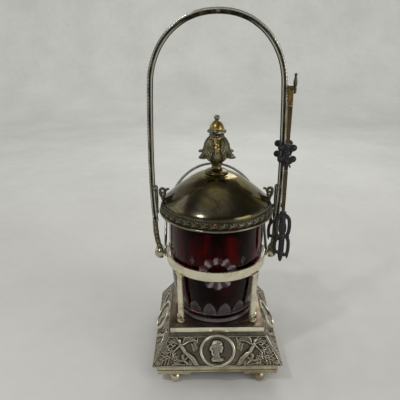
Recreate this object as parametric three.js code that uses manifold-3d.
// Pickle castor: a footed silver-plated stand with a ruby glass jar, a domed lid with
// a leafy finial, a swinging carrying bail, a rear hoop, and tongs on a hook.
// Millimetres, +Z up. Everything is laid out round the jar's axis, standing on z = 0,
// and the finished group is then moved so that the origin is under the middle of the whole.

import * as THREE from 'three';
import { mergeVertices } from 'three/addons/utils/BufferGeometryUtils.js';
import Module from 'manifold-3d';

const wasm = await Module();
wasm.setup();

// Clearances
const fitGap = 0.15;        // round a fixed stud or pin
const runGap = 0.15;        // round a pivot pin
const seatGap = 0.2;        // under a piece that lifts off
const cutGap = 0.3;         // between a piece and the neighbour that shapes it
const lapGap = 0.2;         // between the two halves of a lap joint
const over = 20;            // how far a cutting block runs past what it cuts

// Jar
const jarBelly = 42.6;
const jarHeight = 100.6;
const jarFootInset = 6.8;   // foot ring, in from the belly
const jarMouthInset = 1;
const jarWall = 3;
const jarFloor = 6;
const jarKick = 1.2;        // hollow under the foot
const jarFootWidth = 3;

// Ring, posts and platform
const ringClearance = 1.3;  // between jar and ring
const ringWall = 1.8;
const ringHeight = 8.8;
const postLength = 49.2;    // from platform to ring
const postOffset = 0.6;     // the post's middle, out from the ring's middle
const postWidth = 5.2;
const postThickness = 2.4;
const postFlare = 2.6;      // how far the top spreads on each side
const plinthHeight = 5.2;
const plinthSpread = 0.7;
const bunRadius = 3.8;
const bunHeight = 1.6;
const studRadius = 1.6;
const studLength = 11.4;
const nutRadius = 3.4;
const nutHeight = 2.2;
const platformMargin = 9.5; // from a post's middle to the platform's edge
const platformHeight = 6.4;
const platformWall = 1.8;

// Base
const mouldingSpread = 1.6; // moulding under the platform
const mouldingHeight = 1.8;
const pyramidSpread = 13.8;
const pyramidHeight = 21.9;
const baseWall = 1.6;
const flangeWidth = 6.5;    // inward flange under the pyramid
const topHoleRadius = 14;
const apronInset = 4;
const apronWall = 2.4;
const apronHeight = 12.2;
const apronRise = 3.2;      // how much higher the lower edge is between the bracket feet
const apronBead = 0.8;
const bracketLength = 29;   // of each bracket foot along the side
const bracketPad = 8;       // how far its pad reaches inwards
const padThickness = 1.5;
const footRadius = 5;
const footHeight = 9.3;
const footFlat = 0.4;       // how much of the ball is cut off below
const footNeck = 2.6;
const footInsetX = 15;      // from the apron's outer faces
const footInsetY = 3.5;

// Medallions on the four sloping faces
const medalHalfWidth = 15.9;
const medalHalfHeight = 13.8;
const medalFrame = 2.4;
const medalThickness = 2.7;
const medalField = 1;
const medalLift = 0.8;      // up from the middle of the slope
const bustHeight = 19;
const bustRelief = 1.1;

// Pivots and rear hoop
const pivotRise = 3.9;      // above the ring's lower edge
const pinRadius = 1.6;
const pinInset = 0.3;       // from the ring's inner face
const pinReach = 1;         // past the ball's middle
const eyeRadius = 4;
const eyeThickness = 1.8;
const eyeGap = 0.1;         // between ring and hoop strip
const hoopWidth = 2.2;
const hoopThickness = 2;
const hoopLength = 94;
const hoopStraight = 30;    // straight part of each arm
const hoopLean = 46;        // degrees back from upright
const ballRadius = 5.6;
const ballGap = 0.5;        // between hoop strip and ball
const ballDepth = 2.7;      // from the ball's flat to its middle

// Lid
const lidOverhang = 8.7;    // past the jar's mouth
const lidDrop = 4.2;        // how far the lip hangs below the jar's rim
const lidWall = 1.3;
const lipHeight = 1.4;
const bandHeight = 8.8;
const bandInset = 3.7;      // from lip to the dome's edge
const collarWall = 1.2;
const collarDepth = 7;      // how far the collar reaches into the jar
const collarGap = 0.8;
const domeHeight = 25.6;
const lugThickness = 3;
const lugHeight = 11;
const finialFootRadius = 10.3;
const finialFootHeight = 8.6;
const finialNeck = 4.2;
const screwRadius = 1.9;
const screwLength = 6;
const budRadius = 9.9;
const budHeight = 22.4;
const budNeck = 5.6;
const capRadius = 7.9;
const capHeight = 18;
const leafReach = 17.9;
const leafWidth = 12.4;
const leafThickness = 1.15;

// Bail
const lidToBail = 3.5;      // from lid lip to the middle of the bail's strip
const bailLegHeight = 145.3;
const bailRise = 59.1;
const bailPower = 2.13;     // 2 would be an ellipse
const bailBulge = 1.9;      // how far each leg bows out
const bailWidth = 5;
const bailThickness = 2.6;
const lapHeight = 7;
const lapRise = 31.8;       // above the pivot
const rivetRadius = 1;
const rivetHead = 1.7;
const legWidth = 5;
const legThickness = 2.8;
const scrollClear = 0.75;   // from the lid lip to anything on the bail beside it
const scrollRadius = 2.7;
const scrollGap = 0.67;     // from the lap up to the scroll's lower end
const hookRise = 2.3;       // above the springing of the arch
const hookRadius = 1.1;
const fingerHeight = 16;
const fingerGap = 1.9;      // from bow to the finger's middle

// Tongs
const tongOut = 4.7;        // from the bail's strip
const tongLean = 0.6;       // degrees, in towards the jar
const bowInner = 4.5;       // inside radius of the bow
const bowWidth = 3.6;
const bowHeight = 15.5;
const tongThickness = 1.2;
const armLength = 30.2;
const armWidth = 3;         // at its foot
const armSpread = 0.0674;   // slope of each arm, outwards over downwards
const crossHalf = 8.1;
const crossHeight = 22.5;
const castThickness = 2.2;
const shaftLength = 35.4;
const shaftWidth = 3.4;
const clawHalf = 7.3;
const clawHeight = 47.4;
const clawCup = 2.2;        // how far the claw bulges outwards

// Facets
const roundSides = 36;
const turnedSides = 18;
const smallSides = 10;
const pinSides = 16;

// Heights and radii that follow from the sizes above
const apronBottom = footHeight;
const baseBottom = apronBottom + apronHeight;
const mouldingBottom = baseBottom + pyramidHeight;
const platformBottom = mouldingBottom + mouldingHeight;
const platformTop = platformBottom + platformHeight;
const jarBottom = platformTop + seatGap;
const jarTop = jarBottom + jarHeight;
const jarMouth = jarBelly - jarMouthInset;
const jarFoot = jarBelly - jarFootInset;
const ringInner = jarBelly + ringClearance;
const ringOuter = ringInner + ringWall;
const ringBottom = platformTop + postLength;
const ringTop = ringBottom + ringHeight;
const postRadius = (ringInner + ringOuter) / 2 + postOffset;
const platformHalf = postRadius * Math.SQRT1_2 + platformMargin;
const mouldingHalf = platformHalf + mouldingSpread;
const baseHalf = mouldingHalf + pyramidSpread;
const apronHalf = baseHalf - apronInset;
const pivotZ = ringBottom + pivotRise;
const hoopHalf = ringOuter + eyeGap + hoopWidth / 2;
const ballFlatX = hoopHalf + hoopWidth / 2 + ballGap;
const ballX = ballFlatX + ballDepth;
const pinEndX = ballX + pinReach;
const lidRadius = jarMouth + lidOverhang;
const lidBottom = jarTop - lidDrop;
const lidSeat = jarTop + seatGap;
const bandTop = lidBottom + bandHeight;
const bandRadius = lidRadius - bandInset;
const collarOuter = jarMouth - jarWall - collarGap;
const domeTop = bandTop + domeHeight;
const budBottom = domeTop + finialFootHeight;
const budTop = budBottom + budHeight;
const bailHalf = lidRadius + lidToBail;
const bailSpring = pivotZ + bailLegHeight;
const lapBottom = pivotZ + lapRise;
const lapTop = lapBottom + lapHeight;
const lapMiddle = (lapBottom + lapTop) / 2;
const rivetX = bailHalf + 0.8;
const scrollInner = lidRadius + scrollClear;
const scrollZ = lapTop + scrollGap + 8.9 * scrollRadius;
const hookZ = bailSpring + hookRise;
const tongX = bailHalf + tongOut;
const fingerX = tongX + bowWidth / 2 + fingerGap;
const bowTop = hookZ + hookRadius + seatGap + tongThickness;
const bowCentreZ = bowTop - tongThickness - bowInner;
const armTopZ = bowTop - bowHeight - cutGap;
const crossTop = armTopZ - armLength - cutGap;
const crossBottom = crossTop - crossHeight;
const shaftTop = crossBottom - cutGap;
const clawTop = shaftTop - shaftLength - cutGap;
const clawTip = clawTop - clawHeight;

// Geometry helpers

function signedVolume(positions, index) {
  const a = new THREE.Vector3();
  const b = new THREE.Vector3();
  const c = new THREE.Vector3();
  let sum = 0;
  for (let i = 0; i < index.length; i += 3) {
    a.fromBufferAttribute(positions, index[i]);
    b.fromBufferAttribute(positions, index[i + 1]);
    c.fromBufferAttribute(positions, index[i + 2]);
    sum += a.dot(b.cross(c));
  }
  return sum / 6;
}

// One closed skin: shared vertices merged, empty triangles dropped, faces turned outwards
function closed(geometry) {
  geometry.deleteAttribute('normal');
  geometry.deleteAttribute('uv');
  const merged = mergeVertices(geometry, 1e-4);
  const source = merged.index.array;
  let index = [];
  for (let i = 0; i < source.length; i += 3) {
    const [a, b, c] = [source[i], source[i + 1], source[i + 2]];
    if (a !== b && b !== c && a !== c) index.push(a, b, c);
  }
  if (signedVolume(merged.attributes.position, index) < 0) index = index.reverse();
  const result = new THREE.BufferGeometry();
  result.setAttribute('position', merged.attributes.position);
  result.setIndex(index);
  result.computeVertexNormals();
  return result;
}

function solid(geometry) {
  const skin = closed(geometry);
  return new wasm.Manifold(new wasm.Mesh({
    numProp: 3,
    vertProperties: new Float32Array(skin.attributes.position.array),
    triVerts: new Uint32Array(skin.index.array),
  }));
}

function geometryOf(manifold) {
  const mesh = manifold.getMesh();
  const geometry = new THREE.BufferGeometry();
  geometry.setAttribute('position', new THREE.BufferAttribute(new Float32Array(mesh.vertProperties), 3));
  geometry.setIndex(Array.from(mesh.triVerts));
  geometry.computeVertexNormals();
  return geometry;
}

function join(geometries) {
  return geometryOf(geometries.slice(1).reduce((sum, next) => sum.add(solid(next)), solid(geometries[0])));
}

function cut(geometry, tools) {
  return geometryOf(tools.reduce((rest, tool) => rest.subtract(solid(tool)), solid(geometry)));
}

function mirroredX(geometry) {
  const copy = geometry.clone().scale(-1, 1, 1);
  return closed(copy);
}

// A profile of [radius, height] pairs, turned about +Z
function turned(profile, sides = roundSides) {
  const points = profile.map(([r, z]) => new THREE.Vector2(r, z));
  return new THREE.LatheGeometry(points, sides).rotateX(Math.PI / 2);
}

// A profile given as parts of a radius and of a height above a level
function scaled(parts, radius, bottom, height) {
  return parts.map(([r, z]) => [r * radius, bottom + z * height]);
}

function block(x0, x1, y0, y1, z0, z1) {
  return new THREE.BoxGeometry(x1 - x0, y1 - y0, z1 - z0)
    .translate((x0 + x1) / 2, (y0 + y1) / 2, (z0 + z1) / 2);
}

// A square frustum between two half-widths
function frustum(half0, half1, z0, z1) {
  return new THREE.CylinderGeometry(half1 * Math.SQRT2, half0 * Math.SQRT2, z1 - z0, 4)
    .rotateY(Math.PI / 4)
    .rotateX(Math.PI / 2)
    .translate(0, 0, (z0 + z1) / 2);
}

function rodX(radius, x0, x1, y, z, sides = pinSides) {
  return new THREE.CylinderGeometry(radius, radius, x1 - x0, sides)
    .rotateZ(Math.PI / 2)
    .translate((x0 + x1) / 2, y, z);
}

function rodY(radius, y0, y1, x, z, sides = pinSides) {
  return new THREE.CylinderGeometry(radius, radius, y1 - y0, sides).translate(x, (y0 + y1) / 2, z);
}

function rodZ(radius, z0, z1, x, y, sides = pinSides) {
  return new THREE.CylinderGeometry(radius, radius, z1 - z0, sides)
    .rotateX(Math.PI / 2)
    .translate(x, y, (z0 + z1) / 2);
}

// A flat outline in x and z, extruded in y from y0 to y1
function plate(shape, y0, y1, curveSegments = 6) {
  return new THREE.ExtrudeGeometry(shape, { depth: y1 - y0, bevelEnabled: false, curveSegments })
    .rotateX(Math.PI / 2)
    .translate(0, y1, 0);
}

// A chamfered rectangle for swept strips: first size across the path's plane, second in it
function stripSection(across, inPlane, chamfer = 0.4) {
  const [a, b, c] = [across / 2, inPlane / 2, chamfer];
  return new THREE.Shape([
    [a - c, -b], [a, -b + c], [a, b - c], [a - c, b],
    [-a + c, b], [-a, b - c], [-a, -b + c], [-a + c, -b],
  ].map(([x, y]) => new THREE.Vector2(x, y)));
}

function swept(section, curve, steps) {
  return new THREE.ExtrudeGeometry(section, { steps, bevelEnabled: false, extrudePath: curve });
}

// A smooth path through points given in x and z
function smoothPath(points) {
  return new THREE.CatmullRomCurve3(points.map(([x, z]) => new THREE.Vector3(x, 0, z)), false, 'centripetal');
}

function arcPoints(centre, radius, from, to, count) {
  return Array.from({ length: count + 1 }, (_, i) => {
    const angle = THREE.MathUtils.degToRad(from + (to - from) * i / count);
    return [centre[0] + radius * Math.cos(angle), centre[1] + radius * Math.sin(angle)];
  });
}

function outline(points) {
  return new THREE.Shape(points.map(([x, y]) => new THREE.Vector2(x, y)));
}

// Closed rings of equal count, skinned one to the next, with a fan at each end
function lofted(rings) {
  const count = rings[0].length;
  const positions = rings.flat();
  const index = [];
  for (let r = 0; r < rings.length - 1; r += 1) {
    for (let i = 0; i < count; i += 1) {
      const a = r * count + i;
      const b = r * count + (i + 1) % count;
      index.push(a, b, b + count, a, b + count, a + count);
    }
  }
  [0, rings.length - 1].forEach((r) => {
    const middle = rings[r].reduce((sum, p) => sum.map((v, k) => v + p[k] / count), [0, 0, 0]);
    const hub = positions.push(middle) - 1;
    for (let i = 0; i < count; i += 1) {
      const a = r * count + i;
      const b = r * count + (i + 1) % count;
      index.push(...(r === 0 ? [b, a, hub] : [a, b, hub]));
    }
  });
  const geometry = new THREE.BufferGeometry();
  geometry.setAttribute('position', new THREE.Float32BufferAttribute(positions.flat(), 3));
  geometry.setIndex(index);
  return closed(geometry);
}

// Scene graph
const stand = new THREE.Group();
const jarGroup = new THREE.Group();
const lidGroup = new THREE.Group();
const bailGroup = new THREE.Group();
const hoopGroup = new THREE.Group();
const tongsGroup = new THREE.Group();

const finishes = {
  paleSilver: { color: 0xc9c4a4, metalness: 1, roughness: 0.25 },
  darkPewter: { color: 0x5d594e, metalness: 1, roughness: 0.45 },
  bronze: { color: 0x5c5433, metalness: 1, roughness: 0.25 },
  agedSilver: { color: 0x8c887a, metalness: 1, roughness: 0.4 },
  gilt: { color: 0xb08d45, metalness: 1, roughness: 0.3 },
  black: { color: 0x22201f, metalness: 1, roughness: 0.5 },
  ruby: { color: 0x5c0714, metalness: 0, roughness: 0.05, transparent: true, opacity: 0.8 },
};

function addPiece(group, name, geometry, finish) {
  const mesh = new THREE.Mesh(closed(geometry), new THREE.MeshStandardMaterial(finishes[finish]));
  mesh.name = name;
  group.add(mesh);
}

// Base: feet, apron, hollow pyramid, platform

function footGeometry() {
  const centreZ = footRadius - footFlat;
  const flat = Math.sqrt(footRadius ** 2 - centreZ ** 2);
  const start = THREE.MathUtils.radToDeg(Math.asin(-centreZ / footRadius));
  const end = THREE.MathUtils.radToDeg(Math.acos(footNeck / footRadius));
  return turned([
    [0, 0], [flat, 0],
    ...arcPoints([0, centreZ], footRadius, start, end, 5).slice(1),
    [footNeck, apronBottom], [0, apronBottom],
  ], smallSides);
}

const footX = apronHalf - footInsetX;
const footY = apronHalf - footInsetY;
for (const [name, x, y] of [
  ['foot_front_left', -footX, -footY], ['foot_front_right', footX, -footY],
  ['foot_back_left', -footX, footY], ['foot_back_right', footX, footY],
]) {
  addPiece(stand, name, footGeometry().translate(x, y, 0), 'paleSilver');
}

function apronGeometry() {
  const beadBottom = apronBottom + apronRise;
  const start = apronHalf - bracketLength;
  const inner = apronHalf - apronWall;
  const padInner = apronHalf - bracketPad;
  const outer = join([
    block(-apronHalf, apronHalf, -apronHalf, apronHalf, apronBottom, baseBottom),
    frustum(apronHalf + apronBead, apronHalf + apronBead, beadBottom, beadBottom + 2 * apronBead),
  ]);
  return cut(outer, [
    block(-inner, inner, -inner, inner, apronBottom + padThickness, baseBottom + over),
    block(-padInner, padInner, -padInner, padInner, apronBottom - over, baseBottom),
    block(-start, start, -baseHalf, baseHalf, apronBottom - over, beadBottom),
    block(-baseHalf, baseHalf, -start, start, apronBottom - over, beadBottom),
  ]);
}
addPiece(stand, 'base_apron', apronGeometry(), 'paleSilver');

const postSpots = [45, 135, 225, 315].map((degrees) => {
  const angle = THREE.MathUtils.degToRad(degrees);
  return [postRadius * Math.cos(angle), postRadius * Math.sin(angle), degrees];
});

function studHoles(z0, z1) {
  return postSpots.map(([x, y]) => rodZ(studRadius + fitGap, z0, z1, x, y, smallSides));
}

// The hollow follows the slope, so that the stamped sheet is equally thick all over
function pyramidGeometry() {
  const outer = join([
    frustum(baseHalf, mouldingHalf, baseBottom, mouldingBottom),
    block(-mouldingHalf, mouldingHalf, -mouldingHalf, mouldingHalf, mouldingBottom, platformBottom),
  ]);
  const ceiling = platformBottom - baseWall;
  const slope = pyramidSpread / pyramidHeight;
  const side = baseWall * Math.hypot(1, slope);
  const hollowBottom = baseBottom + baseWall;
  const openHalf = baseHalf - flangeWidth;
  return cut(outer, [
    frustum(baseHalf - slope * baseWall - side, mouldingHalf - side, hollowBottom, ceiling),
    block(-openHalf, openHalf, -openHalf, openHalf, baseBottom - over, hollowBottom + 0.1),
    rodZ(topHoleRadius, ceiling - 1, platformBottom + 1, 0, 0),
    ...studHoles(ceiling - 1, platformBottom + 1),
  ]);
}
addPiece(stand, 'base_pyramid', pyramidGeometry(), 'darkPewter');

function platformGeometry() {
  const inner = platformHalf - platformWall;
  return cut(block(-platformHalf, platformHalf, -platformHalf, platformHalf, platformBottom, platformTop), [
    block(-inner, inner, -inner, inner, platformBottom - 1, platformTop - platformWall),
    ...studHoles(platformBottom, platformTop + 1),
  ]);
}
addPiece(stand, 'base_platform', platformGeometry(), 'paleSilver');

// Medallion: an oval frame, a flat field and a classical bust in low relief

function bustShape() {
  return outline([
    [-0.34, 0.0], [-0.30, 0.14], [-0.17, 0.24], [-0.15, 0.36], [-0.27, 0.44], [-0.36, 0.58],
    [-0.36, 0.76], [-0.25, 0.92], [-0.06, 1.0], [0.12, 0.97], [0.21, 0.87], [0.23, 0.77],
    [0.30, 0.64], [0.24, 0.61], [0.25, 0.56], [0.22, 0.52], [0.24, 0.48], [0.17, 0.41],
    [0.05, 0.39], [0.04, 0.26], [0.16, 0.17], [0.26, 0.06], [0.22, 0.0], [0, -0.05],
  ].map(([x, y]) => [x * bustHeight, (y - 0.5) * bustHeight]));
}

function ellipseShape(a, b) {
  const shape = new THREE.Shape();
  shape.absellipse(0, 0, a, b, 0, 2 * Math.PI, false);
  return shape;
}

// Built lying in x and y with its back on z = 0
function medallionFlat() {
  const flat = (shape, depth, segments) => new THREE.ExtrudeGeometry(
    shape, { depth, bevelEnabled: false, curveSegments: segments });
  const frame = ellipseShape(medalHalfWidth, medalHalfHeight);
  const inner = new THREE.EllipseCurve(0, 0, medalHalfWidth - medalFrame, medalHalfHeight - medalFrame);
  frame.holes.push(new THREE.Path(inner.getPoints(20)));
  const field = ellipseShape(medalHalfWidth - medalFrame / 2, medalHalfHeight - medalFrame / 2);
  return join([
    flat(frame, medalThickness, 10),
    flat(field, medalField, 8),
    flat(bustShape(), medalField + bustRelief, 4),
  ]);
}

function medallionGeometry() {
  const tilt = Math.atan2(pyramidHeight, pyramidSpread);
  const along = Math.hypot(pyramidHeight, pyramidSpread) / 2 + medalLift;
  const standing = medallionFlat().rotateX(tilt);
  standing.translate(
    0,
    -baseHalf + along * Math.cos(tilt) - cutGap * Math.sin(tilt),
    baseBottom + along * Math.sin(tilt) + cutGap * Math.cos(tilt),
  );
  const reach = mouldingHalf + cutGap;
  const ledge = platformHalf + cutGap;
  return cut(standing, [
    block(-reach, reach, -reach, 0, mouldingBottom - cutGap, platformBottom + cutGap),
    block(-ledge, ledge, -ledge, 0, platformBottom, platformTop + cutGap),
  ]);
}

const medallion = medallionGeometry();
for (const [name, turns] of [
  ['medallion_front', 0], ['medallion_right', 1], ['medallion_back', 2], ['medallion_left', 3],
]) {
  addPiece(stand, name, medallion.clone().rotateZ(turns * Math.PI / 2), 'agedSilver');
}

// Posts with plinth, bun foot and threaded stud, their nuts, and the jar ring

function postGeometry() {
  const half = postWidth / 2;
  const plinthBottom = platformTop + bunHeight;
  const stripBottom = plinthBottom + plinthHeight;
  const flareHeight = 1.5 * postFlare;
  const right = arcPoints([half + postFlare, 0], postFlare, 180, 90, 5)
    .map(([x, z]) => [x, ringBottom - flareHeight + z * flareHeight / postFlare]);
  const strip = outline([
    [-half, stripBottom], [half, stripBottom], ...right,
    ...right.slice().reverse().map(([x, z]) => [-x, z]),
  ]);
  const plinthHalf = half + plinthSpread;
  const plinthDeep = postThickness / 2 + plinthSpread;
  return join([
    plate(strip, -postThickness / 2, postThickness / 2),
    block(-plinthHalf, plinthHalf, -plinthDeep, plinthDeep, plinthBottom, stripBottom + 0.4),
    turned([
      [0, platformTop], [bunRadius * 0.8, platformTop], [bunRadius, platformTop + bunHeight * 0.45],
      [bunRadius * 0.9, plinthBottom + 0.2], [0, plinthBottom + 0.2],
    ], smallSides),
    rodZ(studRadius, platformTop - studLength, platformTop + 0.5, 0, 0, smallSides),
  ]);
}

function nutGeometry() {
  const top = platformBottom - baseWall;
  const hexagon = new THREE.CylinderGeometry(nutRadius, nutRadius, nutHeight, 6)
    .rotateX(Math.PI / 2)
    .translate(0, 0, top - nutHeight / 2);
  return cut(hexagon, [rodZ(studRadius + fitGap, top - nutHeight - 1, top + 1, 0, 0, smallSides)]);
}

const postNames = ['back_right', 'back_left', 'front_left', 'front_right'];
postSpots.forEach(([x, y, degrees], i) => {
  const turn = THREE.MathUtils.degToRad(degrees + 90);
  addPiece(stand, `post_${postNames[i]}`, postGeometry().rotateZ(turn).translate(x, y, 0), 'paleSilver');
  addPiece(stand, `post_nut_${postNames[i]}`, nutGeometry().translate(x, y, 0), 'agedSilver');
});

function ringGeometry() {
  const band = turned([
    [ringInner, ringBottom], [ringOuter, ringBottom], [ringOuter, ringTop], [ringInner, ringTop],
    [ringInner, ringBottom],
  ]);
  return cut(band, [rodX(pinRadius + 0.05, -ballX, ballX, 0, pivotZ)]);
}
addPiece(stand, 'jar_ring', ringGeometry(), 'paleSilver');

const pivotPin = rodX(pinRadius, ringInner + pinInset, pinEndX, 0, pivotZ);
addPiece(stand, 'pivot_pin_right', pivotPin, 'agedSilver');
addPiece(stand, 'pivot_pin_left', mirroredX(pivotPin), 'agedSilver');

// Jar: cut ruby glass with a ring foot

function jarGeometry() {
  const at = (part) => jarBottom + part * jarHeight;
  const foot = jarFoot - jarFootWidth;
  return turned([
    [0, jarBottom + jarKick], [foot - jarKick, jarBottom + jarKick], [foot, jarBottom],
    [jarFoot, jarBottom], [jarFoot + 0.4, at(0.026)],
    ...scaled([[0.901, 0.141], [0.94, 0.25], [0.979, 0.46], [1, 0.777]],
      jarBelly, jarBottom, jarHeight),
    [jarMouth, at(0.988)], [jarMouth - 0.6, jarTop], [jarMouth - jarWall, jarTop],
    [jarBelly * 0.995 - jarWall, at(0.777)], [jarBelly * 0.972 - jarWall, at(0.46)],
    [jarBelly * 0.897 - jarWall, at(0.161)],
    [jarFoot - jarWall - 0.8, jarBottom + jarFloor], [0, jarBottom + jarFloor],
  ]);
}
addPiece(jarGroup, 'jar', jarGeometry(), 'ruby');

// Lid: spun dome, applied band, inner collar, lugs, finial

const domeRim = [bandRadius - 0.4, bandTop - 0.6];
const domeCurve = scaled([
  [0.796, 0.328], [0.609, 0.621], [0.427, 0.852], [0.292, 0.969], [0.129, 1],
], bandRadius, bandTop, domeHeight);

function domeGeometry() {
  const hole = screwRadius + 2 * fitGap;
  const inside = [0, 1, 2, 4]
    .map((i) => [domeCurve[i][0] - lidWall * 0.55, domeCurve[i][1] - lidWall * 0.9]);
  return turned([
    [hole, domeTop], ...domeCurve.slice().reverse(), domeRim,
    [domeRim[0] - lidWall, domeRim[1] - 1], ...inside, [hole, domeTop - lidWall], [hole, domeTop],
  ]);
}
addPiece(lidGroup, 'lid_dome', domeGeometry(), 'bronze');

function bandGeometry() {
  const shelf = bandTop - 3.1;
  const bore = jarMouth + collarGap;
  return turned([
    [bore, lidBottom], [lidRadius, lidBottom], [lidRadius, lidBottom + lipHeight],
    [lidRadius - 1.6, lidBottom + lipHeight + 0.4], [lidRadius - 1, lidBottom + 0.57 * bandHeight],
    [bandRadius + 0.9, bandTop + 0.2], [bandRadius, bandTop + 0.3], [bandRadius, bandTop - 0.9],
    [bandRadius - 3.4, shelf], [collarOuter + cutGap, shelf], [collarOuter + cutGap, lidSeat],
    [bore, lidSeat], [bore, lidBottom],
  ]);
}
addPiece(lidGroup, 'lid_band', bandGeometry(), 'bronze');

function collarGeometry() {
  const inner = collarOuter - collarWall;
  const low = jarTop - collarDepth;
  const high = bandTop - 2.7;
  return turned([[inner, low], [collarOuter, low], [collarOuter, high], [inner, high], [inner, low]]);
}
addPiece(lidGroup, 'lid_collar', collarGeometry(), 'agedSilver');

// A curled leaf with an open loop stands on each side of the band
function lugGeometry() {
  const unit = lugHeight / 10;
  const x = lidRadius - 2.9 * unit;
  const z = bandTop + 7.8 * unit;
  const stem = outline([
    [-1.5, -7], [0.9, -9.8], [1.9, -6], [2.4, -1.5], [1, -1], [-0.4, -2], [-1, -4],
  ].map(([a, b]) => [x + a * unit, z + b * unit]));
  const tip = outline([
    [-2.2, 0.6], [-1.2, 2.4], [-3, 2.8], [-4.6, 2.2], [-5.6, 0.6], [-3.6, 1],
  ].map(([a, b]) => [x + a * unit, z + b * unit]));
  const half = lugThickness / 2;
  const loop = cut(rodY(2.8 * unit, -half, half, x, z, 12), [rodY(1.2 * unit, -over, over, x, z, 8)]);
  const band = closed(bandGeometry().translate(0, 0, cutGap));
  const lug = join([plate(stem, -half, half), plate(tip, -half * 0.7, half * 0.7), loop]);
  return cut(lug, [band, closed(bandGeometry())]);
}
const lug = lugGeometry();
addPiece(lidGroup, 'lid_lug_right', lug, 'bronze');
addPiece(lidGroup, 'lid_lug_left', mirroredX(lug), 'bronze');

function finialFootGeometry() {
  const neck = finialNeck / finialFootRadius;
  return turned(scaled([
    [0, 0], [0.96, 0], [1, 0.07], [0.9, 0.21], [0.6, 0.28], [neck, 0.44],
    [neck, 0.79], [neck + 0.11, 0.895], [neck, 1], [0, 1],
  ], finialFootRadius, domeTop, finialFootHeight), turnedSides);
}
const finialScrew = rodZ(screwRadius, domeTop - screwLength, domeTop + 0.5, 0, 0, smallSides);
addPiece(lidGroup, 'finial_foot', join([finialFootGeometry(), finialScrew]), 'bronze');

const budProfile = scaled([
  [0, 0], [budNeck / budRadius, 0], [0.8, 0.16], [0.96, 0.33], [1, 0.48], [0.96, 0.64], [0.82, 0.8],
  [0.64, 0.92], [0.58, 1], [0, 1],
], budRadius, budBottom, budHeight);
addPiece(lidGroup, 'finial_bud', turned(budProfile, turnedSides), 'agedSilver');

// Acorn in its cup, with a little ball on top
const acornBall = 0.3 * capRadius;
addPiece(lidGroup, 'finial_acorn', turned([
  ...scaled([
    [0, 0], [0.72, 0], [0.78, 0.03], [0.77, 0.11], [0.68, 0.135], [0.86, 0.16], [1, 0.235], [0.98, 0.3],
    [0.86, 0.35], [0.74, 0.37], [0.7, 0.46], [0.58, 0.58], [0.42, 0.68], [0.26, 0.74],
  ], capRadius, budTop, capHeight),
  ...arcPoints([0, budTop + capHeight - acornBall], acornBall, -55, 90, 4),
], turnedSides), 'gilt');

const finialNut = new THREE.CylinderGeometry(nutRadius + 0.6, nutRadius + 0.6, nutHeight + 0.4, 6)
  .rotateX(Math.PI / 2)
  .translate(0, 0, domeTop - lidWall - 0.2 - (nutHeight + 0.4) / 2);
addPiece(lidGroup, 'finial_nut', cut(
  finialNut, [rodZ(screwRadius + fitGap, domeTop - over, domeTop, 0, 0, smallSides)]), 'agedSilver');

// One drooping leaf: a thick cupped blade that hugs the bud and flicks out at its tip
function leafGeometry() {
  const out = leafReach - budRadius;
  const spine = new THREE.CatmullRomCurve3([
    [-0.42, 0.03], [-0.16, 0.13], [0.06, 0.28], [0.18, 0.46], [0.38, 0.61], [0.68, 0.71], [0.92, 0.75],
  ].map(([k, drop]) => new THREE.Vector3(budRadius + k * out, 0, budTop - drop * budHeight)));
  const sizes = [[0.36, 0.55], [0.66, 0.8], [0.9, 1], [1, 1.1], [0.9, 1.2], [0.7, 1.1], [0.36, 0.7]];
  const steps = 7;
  const rings = [];
  for (let i = 0; i <= steps; i += 1) {
    const t = i / steps;
    const centre = spine.getPoint(t);
    const tangent = spine.getTangent(t);
    const normal = new THREE.Vector3(tangent.z, 0, -tangent.x);
    const place = t * (sizes.length - 1);
    const k = Math.min(Math.floor(place), sizes.length - 2);
    const [wide, deep] = sizes[k].map((v, j) => THREE.MathUtils.lerp(v, sizes[k + 1][j], place - k));
    const half = wide * leafWidth / 2;
    const thick = deep * leafThickness;
    const wrap = (1 - 0.6 * t) / (2 * centre.x);
    rings.push([
      [-1, 0], [-0.55, 0.75], [0, 1], [0.55, 0.75], [1, 0], [0.5, -0.8], [-0.5, -0.8],
    ].map(([side, lift]) => {
      const p = centre.clone().addScaledVector(normal, wrap * (side * half) ** 2 - lift * thick);
      return [p.x, side * half, p.z];
    }));
  }
  return lofted(rings);
}

const leafCutter = join([
  turned(budProfile.map(([r, z]) => [r > 0 ? r + cutGap : 0, z]), turnedSides),
  rodZ(0.8 * capRadius + cutGap, budTop - 1, budTop + capHeight / 2, 0, 0, turnedSides),
]);
const leaf = cut(leafGeometry(), [leafCutter]);
for (const [name, turns] of [
  ['finial_leaf_back_right', 0.5], ['finial_leaf_back_left', 1.5],
  ['finial_leaf_front_left', 2.5], ['finial_leaf_front_right', 3.5],
]) {
  addPiece(lidGroup, name, leaf.clone().rotateZ(turns * Math.PI / 2), 'agedSilver');
}

// Bail: swept strip, cast lower legs with ball ends, scrolls, rivets, hook

function bailPath() {
  const leg = [[0, 0.16], [0.084, 0.58], [0.207, 0.9], [0.383, 1], [0.595, 0.84], [0.806, 0.47], [1, 0]]
    .map(([t, k]) => [bailHalf + k * bailBulge, THREE.MathUtils.lerp(lapBottom, bailSpring, t)]);
  const arch = [14, 28, 42, 56, 70, 82].map((degrees) => {
    const angle = THREE.MathUtils.degToRad(degrees);
    return [
      bailHalf * Math.cos(angle) ** (2 / bailPower),
      bailSpring + bailRise * Math.sin(angle) ** (2 / bailPower),
    ];
  });
  const right = [...leg, ...arch];
  const left = right.map(([x, z]) => [-x, z]);
  const points = [...left, [0, bailSpring + bailRise], ...right.slice().reverse()];
  return smoothPath(points);
}

const bailCurve = bailPath();
const bailSteps = 42;

function bailSolid(extra = 0) {
  return swept(stripSection(bailThickness + 2 * extra, bailWidth + 2 * extra), bailCurve, bailSteps);
}

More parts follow.
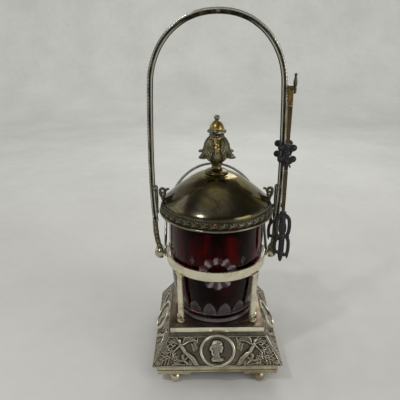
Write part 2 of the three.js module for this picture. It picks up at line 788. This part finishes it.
function rivetHole(side) {
  return rodY(rivetRadius + fitGap, -over, over, side * rivetX, lapMiddle, smallSides);
}

function bailGeometry() {
  const laps = [bailHalf, -bailHalf].map((x) => (
    block(x - over, x + over, -lapGap / 2, over, lapBottom - over, lapTop)));
  return cut(bailSolid(), [...laps, rivetHole(1), rivetHole(-1)]);
}
addPiece(bailGroup, 'bail_hoop', bailGeometry(), 'agedSilver');

// The lower leg is cast in one with its ball; its top laps behind the strip
function legGeometry() {
  const footZ = pivotZ + 0.8 * ballRadius;
  const along = (t) => {
    const k = 1 - (1 - t) ** 2.4;
    return [THREE.MathUtils.lerp(ballX + 0.4, rivetX + 0.2, k), THREE.MathUtils.lerp(footZ, lapBottom, t)];
  };
  const sides = [[0, 0.87], [0.3, 1], [0.65, 1.02], [1, 1.02]]
    .map(([t, k]) => [...along(t), k * legWidth / 2]);
  const end = [rivetX + 0.3, lapTop - 0.4, legWidth / 2];
  const all = [...sides, end];
  const right = all.map(([x, z, half]) => [x + half, z]);
  const left = all.slice().reverse().map(([x, z, half]) => [x - half, z]);
  const strip = plate(outline([...right, ...left]), -legThickness / 2, legThickness / 2);
  const ribs = [0.22, 0.5, 0.78].map((t) => {
    const [x, z] = along(t);
    return new THREE.SphereGeometry(legWidth / 2 + 0.15, 8, 4).scale(1, 0.85, 0.52).translate(x, 0, z);
  });
  const collar = turned(scaled(
    [[0, 0], [0.87, 0], [1, 0.45], [0.82, 1], [0, 1]], 0.7 * ballRadius, footZ - 0.2, 2.6), smallSides)
    .translate(ballX + 0.3, 0, 0);
  const ball = new THREE.SphereGeometry(ballRadius, 12, 8).translate(ballX, 0, pivotZ);
  return cut(join([strip, collar, ball, ...ribs]), [
    block(ballX - over, ballFlatX, -over, over, pivotZ - 2 * ballRadius, pivotZ + 2 * ballRadius),
    rodX(pinRadius + runGap, ballFlatX - 1, pinEndX + 0.4, 0, pivotZ),
    block(ballX - over, ballX + over, -over, lapGap / 2, lapBottom - cutGap, lapTop + 1),
    rivetHole(1),
  ]);
}
const leg = legGeometry();
addPiece(bailGroup, 'bail_leg_right', leg, 'agedSilver');
addPiece(bailGroup, 'bail_leg_left', mirroredX(leg), 'agedSilver');

function rivetGeometry() {
  const face = Math.max(bailThickness, legThickness) / 2 + 0.05;
  const thick = 0.8 * rivetRadius;
  return join([
    rodY(rivetRadius, -face - thick / 2, face + thick / 2, rivetX, lapMiddle, smallSides),
    rodY(rivetHead, -face - thick, -face, rivetX, lapMiddle, smallSides),
    rodY(rivetHead, face, face + thick, rivetX, lapMiddle, smallSides),
  ]);
}
addPiece(bailGroup, 'bail_rivet_right', rivetGeometry(), 'black');
addPiece(bailGroup, 'bail_rivet_left', mirroredX(rivetGeometry()), 'black');

// A scroll on the inner side of each leg, beside the lid: a stem, a knot and an open volute
function scrollGeometry() {
  const r = scrollRadius;
  const at = ([a, b]) => [scrollInner + a * r, scrollZ + b * r];
  const stem = outline([
    [0, -8.7], [0.57, -8.9], [0.72, -7.85], [0.62, -5.3], [0.44, -3.6], [0.6, -2.1], [1.2, -1.2], [1.6, -0.6],
    [0.2, 0.2], [0, -0.8], [0, -4.5],
  ].map(at));
  const [x, z] = at([1.02, 0]);
  const [knotX, knotZ] = at([0.57, -8.15]);
  const loop = cut(rodY(1.05 * r, -0.85 * r, 0.85 * r, x, z, 12), [rodY(0.45 * r, -over, over, x, z, 8)]);
  const knot = rodY(0.56 * r, -0.74 * r, 0.74 * r, knotX, knotZ, smallSides);
  const lidSide = block(scrollInner - over, scrollInner, -over, over, scrollZ - 2 * over, scrollZ + over);
  return cut(join([plate(stem, -0.66 * r, 0.66 * r), loop, knot]), [closed(bailSolid(cutGap)), lidSide]);
}
const scroll = scrollGeometry();
addPiece(bailGroup, 'bail_scroll_right', scroll, 'agedSilver');
addPiece(bailGroup, 'bail_scroll_left', mirroredX(scroll), 'agedSilver');

// Hook: a shank from the right leg that ends in an upright turned finger
function hookGeometry() {
  const r = hookRadius;
  const finger = turned(scaled([
    [0, 0], [0.73, 0.025], [1.27, 0.11], [1.09, 0.225], [1.36, 0.28], [1, 0.395], [1.36, 0.57], [1.45, 0.67],
    [0.91, 0.815], [0.73, 0.865], [1.09, 0.925], [0.73, 0.98], [0, 1],
  ], r, hookZ - 0.28 * fingerHeight, fingerHeight), smallSides).translate(fingerX, 0, 0);
  const shank = rodX(r, bailHalf, fingerX, 0, hookZ, smallSides);
  return cut(join([finger, shank]), [closed(bailSolid(cutGap))]);
}
addPiece(bailGroup, 'tong_hook', hookGeometry(), 'agedSilver');

// Rear hoop: straight arms and a half-oval top, laid upright and then leaned back

function hoopGeometry() {
  const oval = hoopLength - hoopStraight;
  const arms = [0, 1 / 3, 2 / 3, 1].map((t) => [hoopHalf, t * hoopStraight]);
  const arch = [15, 30, 45, 60, 75].map((degrees) => {
    const angle = THREE.MathUtils.degToRad(degrees);
    return [hoopHalf * Math.cos(angle), hoopStraight + oval * Math.sin(angle)];
  });
  const half = [...arms, ...arch];
  const points = [...half.map(([x, z]) => [-x, z]), [0, hoopLength], ...half.slice().reverse()];
  const curve = smoothPath(points);
  const eye = (x) => rodX(eyeRadius, x - eyeThickness / 2, x + eyeThickness / 2, 0, 0);
  const bore = rodX(pinRadius + runGap, -hoopHalf - over, hoopHalf + over, 0, 0);
  const strip = swept(stripSection(hoopThickness, hoopWidth, 0.3), curve, 26);
  return cut(join([strip, eye(hoopHalf), eye(-hoopHalf)]), [bore])
    .rotateX(-THREE.MathUtils.degToRad(hoopLean))
    .translate(0, 0, pivotZ);
}
addPiece(hoopGroup, 'rear_hoop', hoopGeometry(), 'agedSilver');

// Tongs: a sprung bow over the hook, and two arms with a cast cross-piece and claw each

const armAt = (z) => bowInner + tongThickness / 2 + (bowCentreZ - z) * armSpread;

function bowGeometry() {
  const radius = bowInner + tongThickness / 2;
  const low = armTopZ + cutGap;
  const knee = low + bowHeight / 3;
  const arc = [0, 30, 60].map((degrees) => {
    const angle = THREE.MathUtils.degToRad(degrees);
    return [radius * Math.cos(angle), bowCentreZ + radius * Math.sin(angle)];
  });
  const half = [[armAt(low), low], [armAt(knee), knee], ...arc];
  const points = [...half.map(([y, z]) => [-y, z]), [0, bowCentreZ + radius], ...half.slice().reverse()];
  const curve = new THREE.CatmullRomCurve3(
    points.map(([y, z]) => new THREE.Vector3(tongX, y, z)), false, 'centripetal');
  return swept(stripSection(bowWidth, tongThickness, 0.2), curve, 16);
}

// Arm strip in front, tapering down to the cross-piece and again to the claw
function armGeometry() {
  const ring = (z, width) => {
    const [x0, x1] = [tongX - width / 2, tongX + width / 2];
    const [y0, y1] = [-armAt(z) - tongThickness / 2, -armAt(z) + tongThickness / 2];
    return [[x0, y0, z], [x1, y0, z], [x1, y1, z], [x0, y1, z]];
  };
  const upper = [
    ring(crossTop + cutGap, armWidth),
    ring(crossTop + armLength / 2, (armWidth + bowWidth) / 2),
    ring(armTopZ, bowWidth),
  ];
  return {
    upper: lofted(upper),
    lower: lofted([ring(clawTop + cutGap, 0.88 * shaftWidth), ring(shaftTop, shaftWidth)]),
  };
}

// Gives a flat casting, drawn in x and z, the lean of the arm and an outward bulge
function bent(geometry, bulge) {
  const positions = geometry.attributes.position;
  for (let i = 0; i < positions.count; i += 1) {
    const z = positions.getZ(i);
    positions.setY(i, positions.getY(i) - armAt(z) - bulge(z));
  }
  return geometry;
}

// One half of an outline, given as parts of a half-width and a height below its top, and its mirror image
function drawnHalf(half, top, height, points) {
  return points.map(([a, b]) => [tongX + a * half, top - b * height]);
}

// Cross-piece: two pairs of round lobes with a waist between and a taper below
function crossShape() {
  const lobe = crossHalf / 3;
  const centre = (drop) => [crossHalf - lobe, crossTop - drop * crossHeight];
  const right = [
    [0.23 * crossHalf, crossTop], [lobe, crossTop - 0.05 * crossHeight],
    ...arcPoints(centre(0.138), lobe, 125, -95, 7),
    [0.44 * crossHalf, crossTop - 0.284 * crossHeight], [0.44 * crossHalf, crossTop - 0.391 * crossHeight],
    ...arcPoints(centre(0.56), lobe, 110, -110, 7),
    [0.44 * crossHalf, crossTop - 0.73 * crossHeight], [0.27 * crossHalf, crossBottom + 0.133 * crossHeight],
    [0.2 * crossHalf, crossBottom],
  ];
  const left = right.slice().reverse().map(([x, z]) => [-x, z]);
  return outline([...right, ...left].map(([x, z]) => [x + tongX, z]));
}

// Openwork claw: rounded shoulders, two tiers of loops and three teeth
function clawShape() {
  const right = [
    [0.24, 0], [0.36, 0.05], [0.7, 0.1], [0.92, 0.17], [1, 0.26], [0.96, 0.37], [0.8, 0.46], [0.86, 0.52],
    [1, 0.6], [1.02, 0.72], [0.98, 0.84],
  ];
  const teeth = [
    [0.94, 0.9], [0.84, 0.94], [0.7, 0.87], [0.44, 0.84], [0.22, 0.89], [0.12, 0.96], [0.01, 1],
    [-0.12, 0.96], [-0.22, 0.87], [-0.44, 0.8], [-0.72, 0.79], [-0.86, 0.83], [-0.96, 0.79],
  ];
  const left = right.slice(0, -1).reverse().map(([a, b]) => [-a, b]);
  const shape = outline(drawnHalf(clawHalf, clawTop, clawHeight, [...right, ...teeth, ...left]));
  const slots = [
    [0.52, 0.28, 0.2, 0.11], [-0.52, 0.28, 0.2, 0.11], [0.54, 0.66, 0.22, 0.12], [-0.54, 0.65, 0.22, 0.1],
  ];
  for (const [a, b, halfWidth, halfHeight] of slots) {
    const [[x, z]] = drawnHalf(clawHalf, clawTop, clawHeight, [[a, b]]);
    const curve = new THREE.EllipseCurve(x, z, halfWidth * clawHalf, halfHeight * clawHeight);
    shape.holes.push(new THREE.Path(curve.getPoints(10)));
  }
  return shape;
}

function castings() {
  const half = castThickness / 2;
  const rib = outline(drawnHalf(crossHalf, crossTop, crossHeight, [
    [-0.21, 0.09], [0.21, 0.09], [0.3, 0.62], [0, 0.91], [-0.3, 0.62],
  ]));
  const cross = join([
    bent(plate(crossShape(), -half, half), () => 0),
    bent(plate(rib, -half - 0.8, -half + 0.2), () => 0),
  ]);
  const mid = (clawTop + clawTip) / 2;
  const bulge = (z) => clawCup * Math.max(0, 1 - ((z - mid) / (clawHeight / 2)) ** 2);
  const claw = plate(clawShape(), -half, half, 4);
  return { cross, claw: bent(sliced(claw, clawTip, clawTop, 6), bulge) };
}

// Cuts a casting into level slices and joins them again, so that it has edges to bend along
function sliced(geometry, z0, z1, count) {
  const height = (z1 - z0) / count;
  const whole = solid(geometry);
  const slabs = Array.from({ length: count }, (_, i) => {
    const low = i === 0 ? z0 - 1 : z0 + i * height;
    const high = i === count - 1 ? z1 + 1 : z0 + (i + 1) * height;
    return whole.intersect(solid(block(tongX - over, tongX + over, -over, over, low, high)));
  });
  return geometryOf(slabs.reduce((sum, next) => sum.add(next)));
}

// The tongs hang from the top of the shank and lean in a little towards the jar
function leaned(geometry) {
  const top = hookZ + hookRadius;
  return closed(geometry.clone().translate(-tongX, 0, -top)
    .rotateY(THREE.MathUtils.degToRad(tongLean)).translate(tongX, 0, top));
}

addPiece(tongsGroup, 'tong_bow', leaned(bowGeometry()), 'gilt');
const arm = armGeometry();
const cast = castings();
const toBack = (geometry) => closed(geometry.clone().scale(1, -1, 1));
for (const [side, place] of [['front', (g) => g], ['back', toBack]]) {
  addPiece(tongsGroup, `tong_arm_${side}`, leaned(place(arm.upper)), 'gilt');
  addPiece(tongsGroup, `tong_cross_${side}`, leaned(place(cast.cross)), 'black');
  addPiece(tongsGroup, `tong_shaft_${side}`, leaned(place(arm.lower)), 'gilt');
  addPiece(tongsGroup, `tong_claw_${side}`, leaned(place(cast.claw)), 'black');
}

const castor = new THREE.Group();
castor.add(stand, jarGroup, lidGroup, bailGroup, hoopGroup, tongsGroup);

// The origin lies on the ground under the middle of the whole
castor.updateMatrixWorld(true);
const whole = new THREE.Box3().setFromObject(castor);
castor.position.set(-(whole.min.x + whole.max.x) / 2, -(whole.min.y + whole.max.y) / 2, 0);

export default castor;
